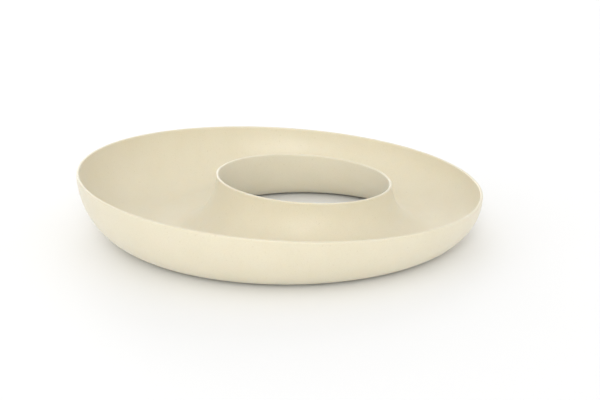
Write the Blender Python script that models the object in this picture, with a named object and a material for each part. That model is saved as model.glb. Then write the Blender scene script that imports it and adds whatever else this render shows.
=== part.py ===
"""Chip and dip server: one moulded ring bowl with a slanted rim and an off-centre well.

A thin wall of even thickness runs from the outer lip down to a flat foot ring and up again,
as a cone, to the lip of a round hole that goes right through. Chips go in the trough between
the two lips, and a dip bowl drops into the hole. Both lips lie in one plane, which falls from
the tall side (-X) to the low side (+X). The hole sits nearer the low side, so the trough is
widest where it is deepest.

Metres, +Z up. The origin is on the table, under the centre of the outer lip.
"""

import math

import bmesh
import bpy

RIM_RADIUS = 0.180  # outer lip, outside
TALL_HEIGHT = 0.0610  # outer lip above the table, at -X
LOW_HEIGHT = 0.0386  # outer lip above the table, at +X
HOLE_RADIUS = 0.0762  # lip of the hole, inside
HOLE_OFFSET = 0.0210  # centre of that lip, towards +X
FOOT_RADIUS = 0.1265  # middle of the flat ring that stands on the table
FOOT_OFFSET = 0.0135  # centre of that ring, towards +X
FOOT_WIDTH_TALL = 0.0280  # the ring's width at -X, narrowing evenly to +X
FOOT_WIDTH_LOW = 0.0035
WALL = 0.0026
LIP_ROUNDING = 0.47 * WALL  # each edge of a lip, so the two meet as a full round

STATIONS = 88  # sections around the ring
WALL_STEPS = 10  # divisions of each curved wall
LIP_STEPS = 2  # divisions of each rounded edge

CREAM = (0.720, 0.670, 0.525, 1.0)


def clear_scene():
    for obj in list(bpy.data.objects):
        bpy.data.objects.remove(obj, do_unlink=True)


def cream_plastic():
    """Matt moulded plastic filled with plant fibre."""
    material = bpy.data.materials.new("cream_plastic")
    material.use_nodes = True
    shader = material.node_tree.nodes["Principled BSDF"]
    shader.inputs["Base Color"].default_value = CREAM
    shader.inputs["Roughness"].default_value = 0.55
    shader.inputs["Metallic"].default_value = 0.0
    material.diffuse_color = CREAM
    return material


def lip_height(x):
    """Height of the slanted plane that both lips lie in."""
    share = (x + RIM_RADIUS) / (2 * RIM_RADIUS)
    return TALL_HEIGHT + (LOW_HEIGHT - TALL_HEIGHT) * share


def on_circle(radius, offset, angle):
    return offset + radius * math.cos(angle), radius * math.sin(angle)


def curved_wall(lip, foot):
    """Points down a quarter ellipse, upright at the lip and level at the foot, without the foot point."""
    height = lip_height(lip[0])
    points = []
    for step in range(WALL_STEPS):
        turn = 0.5 * math.pi * step / WALL_STEPS
        out = math.cos(turn)
        points.append(
            (
                foot[0] + (lip[0] - foot[0]) * out,
                foot[1] + (lip[1] - foot[1]) * out,
                height * (1 - math.sin(turn)),
            )
        )
    return points


def section(angle):
    """The underside of the wall at one angle: outer lip, foot ring, lip of the hole."""
    outer_lip = on_circle(RIM_RADIUS, 0, angle)
    hole_lip = on_circle(HOLE_RADIUS, HOLE_OFFSET, angle)
    low_share = 0.5 * (1 + math.cos(angle))
    width = FOOT_WIDTH_TALL + (FOOT_WIDTH_LOW - FOOT_WIDTH_TALL) * low_share
    outer_foot = on_circle(FOOT_RADIUS + 0.5 * width, FOOT_OFFSET, angle)
    inner_foot = on_circle(FOOT_RADIUS - 0.5 * width, FOOT_OFFSET, angle)
    outer_wall = curved_wall(outer_lip, outer_foot)
    cone_wall = curved_wall(hole_lip, inner_foot)
    return outer_wall + [(*outer_foot, 0), (*inner_foot, 0)] + cone_wall[::-1]


def underside_sheet():
    """The open sheet that the wall is built up from, facing the table."""
    sheet = bmesh.new()
    rows = []
    for station in range(STATIONS):
        angle = 2 * math.pi * station / STATIONS
        rows.append([sheet.verts.new(point) for point in section(angle)])
    for row, following in zip(rows, rows[1:] + rows[:1]):
        for i in range(len(row) - 1):
            sheet.faces.new((row[i], row[i + 1], following[i + 1], following[i]))
    bmesh.ops.recalc_face_normals(sheet, faces=sheet.faces)
    foot = min(sheet.faces, key=lambda face: face.calc_center_median().z)
    if foot.normal.z > 0:
        bmesh.ops.reverse_faces(sheet, faces=sheet.faces)
    mesh = bpy.data.meshes.new("server_body")
    sheet.to_mesh(mesh)
    sheet.free()
    mesh.shade_smooth()
    return mesh


def server_body():
    body = bpy.data.objects.new("server_body", underside_sheet())
    bpy.context.scene.collection.objects.link(body)
    body.data.materials.append(cream_plastic())

    wall = body.modifiers.new("wall", "SOLIDIFY")
    wall.thickness = WALL
    wall.offset = -1
    wall.use_even_offset = True

    lips = body.modifiers.new("lips", "BEVEL")
    lips.width = LIP_ROUNDING
    lips.segments = LIP_STEPS
    lips.limit_method = "ANGLE"
    lips.angle_limit = math.radians(60)
    return body


clear_scene()
server_body()
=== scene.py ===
"""Studio picture of the chip and dip server: one moulded ring bowl in matt cream plastic.

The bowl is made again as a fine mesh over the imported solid, with the same walls and lips.
Metres, +Z up. The table is at zero height, and the low side of the rim points to +X.
"""

import math

import bmesh
import bpy
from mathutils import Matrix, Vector


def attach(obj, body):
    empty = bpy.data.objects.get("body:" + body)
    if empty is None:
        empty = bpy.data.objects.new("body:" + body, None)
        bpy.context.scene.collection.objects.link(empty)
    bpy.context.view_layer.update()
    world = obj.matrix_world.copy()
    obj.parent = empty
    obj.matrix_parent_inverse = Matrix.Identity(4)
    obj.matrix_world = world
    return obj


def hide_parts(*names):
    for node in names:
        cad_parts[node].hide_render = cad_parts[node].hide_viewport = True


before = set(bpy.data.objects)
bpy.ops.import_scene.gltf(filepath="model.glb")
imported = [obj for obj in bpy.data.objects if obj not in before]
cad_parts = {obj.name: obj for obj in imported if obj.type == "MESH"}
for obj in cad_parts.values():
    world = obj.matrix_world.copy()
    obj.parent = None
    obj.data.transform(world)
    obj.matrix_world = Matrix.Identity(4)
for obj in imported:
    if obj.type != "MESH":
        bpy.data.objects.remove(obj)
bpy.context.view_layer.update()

# The design's sizes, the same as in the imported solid.
RIM_RADIUS = 0.180
TALL_HEIGHT = 0.0610
LOW_HEIGHT = 0.0386
HOLE_RADIUS = 0.0762
HOLE_OFFSET = 0.0210
FOOT_RADIUS = 0.1265
FOOT_OFFSET = 0.0135
FOOT_WIDTH_TALL = 0.0280
FOOT_WIDTH_LOW = 0.0035
WALL = 0.0026
LIP_ROUNDING = 0.48 * WALL

STATIONS = 360
WALL_STEPS = 40
LIP_STEPS = 6

CREAM_PALE = (0.740, 0.681, 0.530, 1.0)
CREAM_DEEP = (0.724, 0.665, 0.512, 1.0)
FIBRE = (0.52, 0.44, 0.29, 1.0)
# Greyer cream for the lips: edge wear, and also painted shade that keeps the lips from looking bright.
LIP_WEAR_AND_SHADE = (0.66, 0.615, 0.50, 1.0)
GLOW_REACH = (0.0006, 0.0005, 0.0004)  # how far red, green and blue light spread inside the plastic
LIP_BAND_DEPTH = 0.0016  # how far down from the lips' plane the wear and painted shade reach

TABLE_WIDTH = 60.0
TABLE_WHITE = (0.9, 0.9, 0.9, 1.0)
TABLE_GAP = 0.0001  # left under the foot ring, so that its face and the table's don't coincide

PLAIN_LIGHT = (1.0, 1.0, 1.0)
COOL_LIGHT = (0.95, 1.0, 1.06)
ROOM_LIGHT = (1.0, 0.99, 0.975, 1.0)
ROOM_STRENGTH = 0.885

CAMERA_RISE = math.radians(17.13)
CAMERA_DISTANCE = 1.136
CAMERA_AIM = (0.0173, 0.0, 0.0269)
CAMERA_LENS = 75.7


def lip_height(x):
    """Height of the slanted plane that both lips lie in."""
    share = (x + RIM_RADIUS) / (2 * RIM_RADIUS)
    return TALL_HEIGHT + (LOW_HEIGHT - TALL_HEIGHT) * share


def on_circle(radius, offset, angle):
    return offset + radius * math.cos(angle), radius * math.sin(angle)


def curved_wall(lip, foot):
    """Points down a quarter ellipse, upright at the lip and level at the foot."""
    height = lip_height(lip[0])
    points = []
    for step in range(WALL_STEPS):
        turn = 0.5 * math.pi * step / WALL_STEPS
        out = math.cos(turn)
        x = foot[0] + (lip[0] - foot[0]) * out
        y = foot[1] + (lip[1] - foot[1]) * out
        points.append((x, y, height * (1 - math.sin(turn))))
    return points


def section(angle):
    """The underside of the wall at one angle: outer lip, foot ring, lip of the hole."""
    outer_lip = on_circle(RIM_RADIUS, 0, angle)
    hole_lip = on_circle(HOLE_RADIUS, HOLE_OFFSET, angle)
    low_share = 0.5 * (1 + math.cos(angle))
    width = FOOT_WIDTH_TALL + (FOOT_WIDTH_LOW - FOOT_WIDTH_TALL) * low_share
    outer_foot = on_circle(FOOT_RADIUS + 0.5 * width, FOOT_OFFSET, angle)
    inner_foot = on_circle(FOOT_RADIUS - 0.5 * width, FOOT_OFFSET, angle)
    outer_wall = curved_wall(outer_lip, outer_foot)
    cone_wall = curved_wall(hole_lip, inner_foot)
    return outer_wall + [(*outer_foot, 0), (*inner_foot, 0)] + cone_wall[::-1]


def bowl_mesh():
    """The underside as an open sheet facing the table, which the wall is built up from."""
    sheet = bmesh.new()
    rows = []
    for station in range(STATIONS):
        angle = 2 * math.pi * station / STATIONS
        rows.append([sheet.verts.new(point) for point in section(angle)])
    for row, following in zip(rows, rows[1:] + rows[:1]):
        for i in range(len(row) - 1):
            sheet.faces.new((row[i], row[i + 1], following[i + 1], following[i]))
    bmesh.ops.recalc_face_normals(sheet, faces=sheet.faces)
    foot = min(sheet.faces, key=lambda face: face.calc_center_median().z)
    if foot.normal.z > 0:
        bmesh.ops.reverse_faces(sheet, faces=sheet.faces)
    mesh = bpy.data.meshes.new("ring_bowl")
    sheet.to_mesh(mesh)
    sheet.free()
    mesh.shade_smooth()
    return mesh


class Nodes:
    """Short ways to add and link a material's nodes."""

    def __init__(self, material):
        material.use_nodes = True
        self.tree = material.node_tree
        self.shader = self.tree.nodes["Principled BSDF"]

    def add(self, kind, **settings):
        node = self.tree.nodes.new(kind)
        for name, value in settings.items():
            setattr(node, name, value)
        return node

    def link(self, source, target):
        self.tree.links.new(source, target)

    def noise(self, place, grain, detail=2.0, rough=0.5):
        """Noise whose features are about grain metres across, from 0 to 1."""
        node = self.add("ShaderNodeTexNoise")
        node.inputs["Scale"].default_value = 1 / grain
        node.inputs["Detail"].default_value = detail
        node.inputs["Roughness"].default_value = rough
        self.link(place, node.inputs["Vector"])
        return node.outputs["Fac"]

    def span(self, value, low, high, to_low, to_high):
        """The value's stretch from low to high, laid over to_low to to_high and held at its ends."""
        node = self.add("ShaderNodeMapRange")
        node.inputs["From Min"].default_value = low
        node.inputs["From Max"].default_value = high
        node.inputs["To Min"].default_value = to_low
        node.inputs["To Max"].default_value = to_high
        self.link(value, node.inputs["Value"])
        return node.outputs["Result"]

    def math(self, operation, first, second):
        node = self.add("ShaderNodeMath", operation=operation)
        for socket, value in zip(node.inputs, (first, second)):
            if isinstance(value, (int, float)):
                socket.default_value = value
            else:
                self.link(value, socket)
        return node.outputs["Value"]

    def tint(self, amount, colour, base):
        """base turned towards colour by amount. base is a colour or a socket."""
        node = self.add("ShaderNodeMix", data_type="RGBA")
        factor, first, second = node.inputs[0], node.inputs[6], node.inputs[7]
        self.link(amount, factor)
        if isinstance(base, tuple):
            first.default_value = base
        else:
            self.link(base, first)
        second.default_value = colour
        return node.outputs[2]

    def bump(self, height, depth, below=None):
        """Relief depth metres deep, laid over another relief if one is given."""
        node = self.add("ShaderNodeBump")
        node.inputs["Distance"].default_value = depth
        self.link(height, node.inputs["Height"])
        if below:
            self.link(below, node.inputs["Normal"])
        return node.outputs["Normal"]


def cream_plastic():
    """Matt moulded plastic with ground plant fibre: faint clouds, fine specks, a fine moulded grain, and
    lips greyed by wear and painted shade.
    """
    material = bpy.data.materials.new("cream_plastic_look")
    nodes = Nodes(material)
    place = nodes.add("ShaderNodeTexCoord").outputs["Object"]

    # Depth below the slanted plane of the lips, to find the edges that hands and crockery rub. These edges
    # get wear, and also painted shade that dims the lips.
    split = nodes.add("ShaderNodeSeparateXYZ")
    nodes.link(place, split.inputs["Vector"])
    slope = (LOW_HEIGHT - TALL_HEIGHT) / (2 * RIM_RADIUS)
    level = nodes.math("MULTIPLY_ADD", split.outputs["X"], slope)
    level.node.inputs[2].default_value = lip_height(0)
    depth = nodes.math("SUBTRACT", level, split.outputs["Z"])
    patches = nodes.noise(place, 0.006, detail=3.0)
    lip_wear_and_shade = nodes.math("MULTIPLY", nodes.span(depth, 0.0, LIP_BAND_DEPTH, 1.0, 0.0), patches)

    clouds = nodes.noise(place, 0.030, detail=4.0, rough=0.6)
    fibres = nodes.noise(place, 0.0009, detail=3.0, rough=0.7)
    specks = nodes.noise(place, 0.0016, detail=1.0)
    colour = nodes.tint(nodes.span(clouds, 0.35, 0.65, 0.0, 1.0), CREAM_DEEP, CREAM_PALE)
    colour = nodes.tint(nodes.span(fibres, 0.45, 0.75, 0.0, 0.16), FIBRE, colour)
    colour = nodes.tint(nodes.span(specks, 0.70, 0.76, 0.0, 0.30), FIBRE, colour)
    # Lips turned greyer in patches: partly wear, partly painted shade that dims their brightness.
    colour = nodes.tint(nodes.span(lip_wear_and_shade, 0.1, 0.6, 0.0, 0.4), LIP_WEAR_AND_SHADE, colour)
    nodes.link(colour, nodes.shader.inputs["Base Color"])

    smooth = nodes.noise(place, 0.012, detail=3.0)
    rough = nodes.span(smooth, 0.3, 0.7, 0.38, 0.46)
    rough = nodes.math("SUBTRACT", rough, nodes.math("MULTIPLY", lip_wear_and_shade, 0.06))
    nodes.link(rough, nodes.shader.inputs["Roughness"])

    grain = nodes.noise(place, 0.0007, detail=2.0)
    flow = nodes.noise(place, 0.022, detail=1.0)
    relief = nodes.bump(flow, 0.00010)
    relief = nodes.bump(grain, 0.000012, relief)
    nodes.link(relief, nodes.shader.inputs["Normal"])

    nodes.shader.inputs["Subsurface Weight"].default_value = 1.0
    nodes.shader.inputs["Subsurface Radius"].default_value = GLOW_REACH
    nodes.shader.inputs["Subsurface Scale"].default_value = 1.0
    nodes.shader.inputs["Sheen Weight"].default_value = 0.10
    nodes.shader.inputs["Sheen Roughness"].default_value = 0.5
    return material


def ring_bowl():
    bowl = bpy.data.objects.new("ring_bowl", bowl_mesh())
    bpy.context.scene.collection.objects.link(bowl)
    bowl.data.materials.append(cream_plastic())
    wall = bowl.modifiers.new("wall", "SOLIDIFY")
    wall.thickness = WALL
    wall.offset = -1
    wall.use_even_offset = True
    lips = bowl.modifiers.new("lips", "BEVEL")
    lips.width = LIP_ROUNDING
    lips.segments = LIP_STEPS
    lips.limit_method = "ANGLE"
    lips.angle_limit = math.radians(60)
    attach(bowl, "root")
    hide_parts("server_body")


def table():
    material = bpy.data.materials.new("white_table")
    material.use_nodes = True
    shader = material.node_tree.nodes["Principled BSDF"]
    shader.inputs["Base Color"].default_value = TABLE_WHITE
    shader.inputs["Roughness"].default_value = 0.7
    bpy.ops.mesh.primitive_plane_add(size=TABLE_WIDTH, location=(0, 0, -TABLE_GAP))
    floor = bpy.context.object
    floor.name = "table"
    floor.data.materials.append(material)


def panel(name, azimuth, rise, width, strength, colour):
    """A wide soft light panel far away, its angles in degrees. Azimuth 0 is at +X and 90 at +Y."""
    light = bpy.data.lights.new(name, "SUN")
    light.angle = math.radians(width)
    light.energy = strength
    light.color = colour
    lamp = bpy.data.objects.new(name, light)
    turn, lift = math.radians(azimuth), math.radians(rise)
    towards = Vector((math.cos(lift) * math.cos(turn), math.cos(lift) * math.sin(turn), math.sin(lift)))
    lamp.rotation_euler = towards.to_track_quat("Z", "Y").to_euler()
    bpy.context.scene.collection.objects.link(lamp)


def room():
    """Even light from all round, as from white studio walls."""
    world = bpy.data.worlds.new("studio")
    world.use_nodes = True
    background = world.node_tree.nodes["Background"]
    background.inputs["Color"].default_value = ROOM_LIGHT
    background.inputs["Strength"].default_value = ROOM_STRENGTH
    bpy.context.scene.world = world


def camera():
    data = bpy.data.cameras.new("camera")
    data.lens = CAMERA_LENS
    data.sensor_width = 36
    eye = bpy.data.objects.new("camera", data)
    eye.location = (
        CAMERA_AIM[0],
        CAMERA_AIM[1] - CAMERA_DISTANCE * math.cos(CAMERA_RISE),
        CAMERA_AIM[2] + CAMERA_DISTANCE * math.sin(CAMERA_RISE),
    )
    eye.rotation_euler = (math.pi / 2 - CAMERA_RISE, 0, 0)
    bpy.context.scene.collection.objects.link(eye)
    bpy.context.scene.camera = eye


ring_bowl()
table()
panel("front", azimuth=270, rise=26, width=30, strength=1.20, colour=COOL_LIGHT)
panel("low_back", azimuth=108, rise=9, width=24, strength=0.38, colour=PLAIN_LIGHT)
panel("back", azimuth=90, rise=28, width=28, strength=0.24, colour=PLAIN_LIGHT)
panel("left", azimuth=205, rise=18, width=30, strength=0.16, colour=COOL_LIGHT)
room()
bpy.context.scene.view_settings.view_transform = "Standard"
camera()
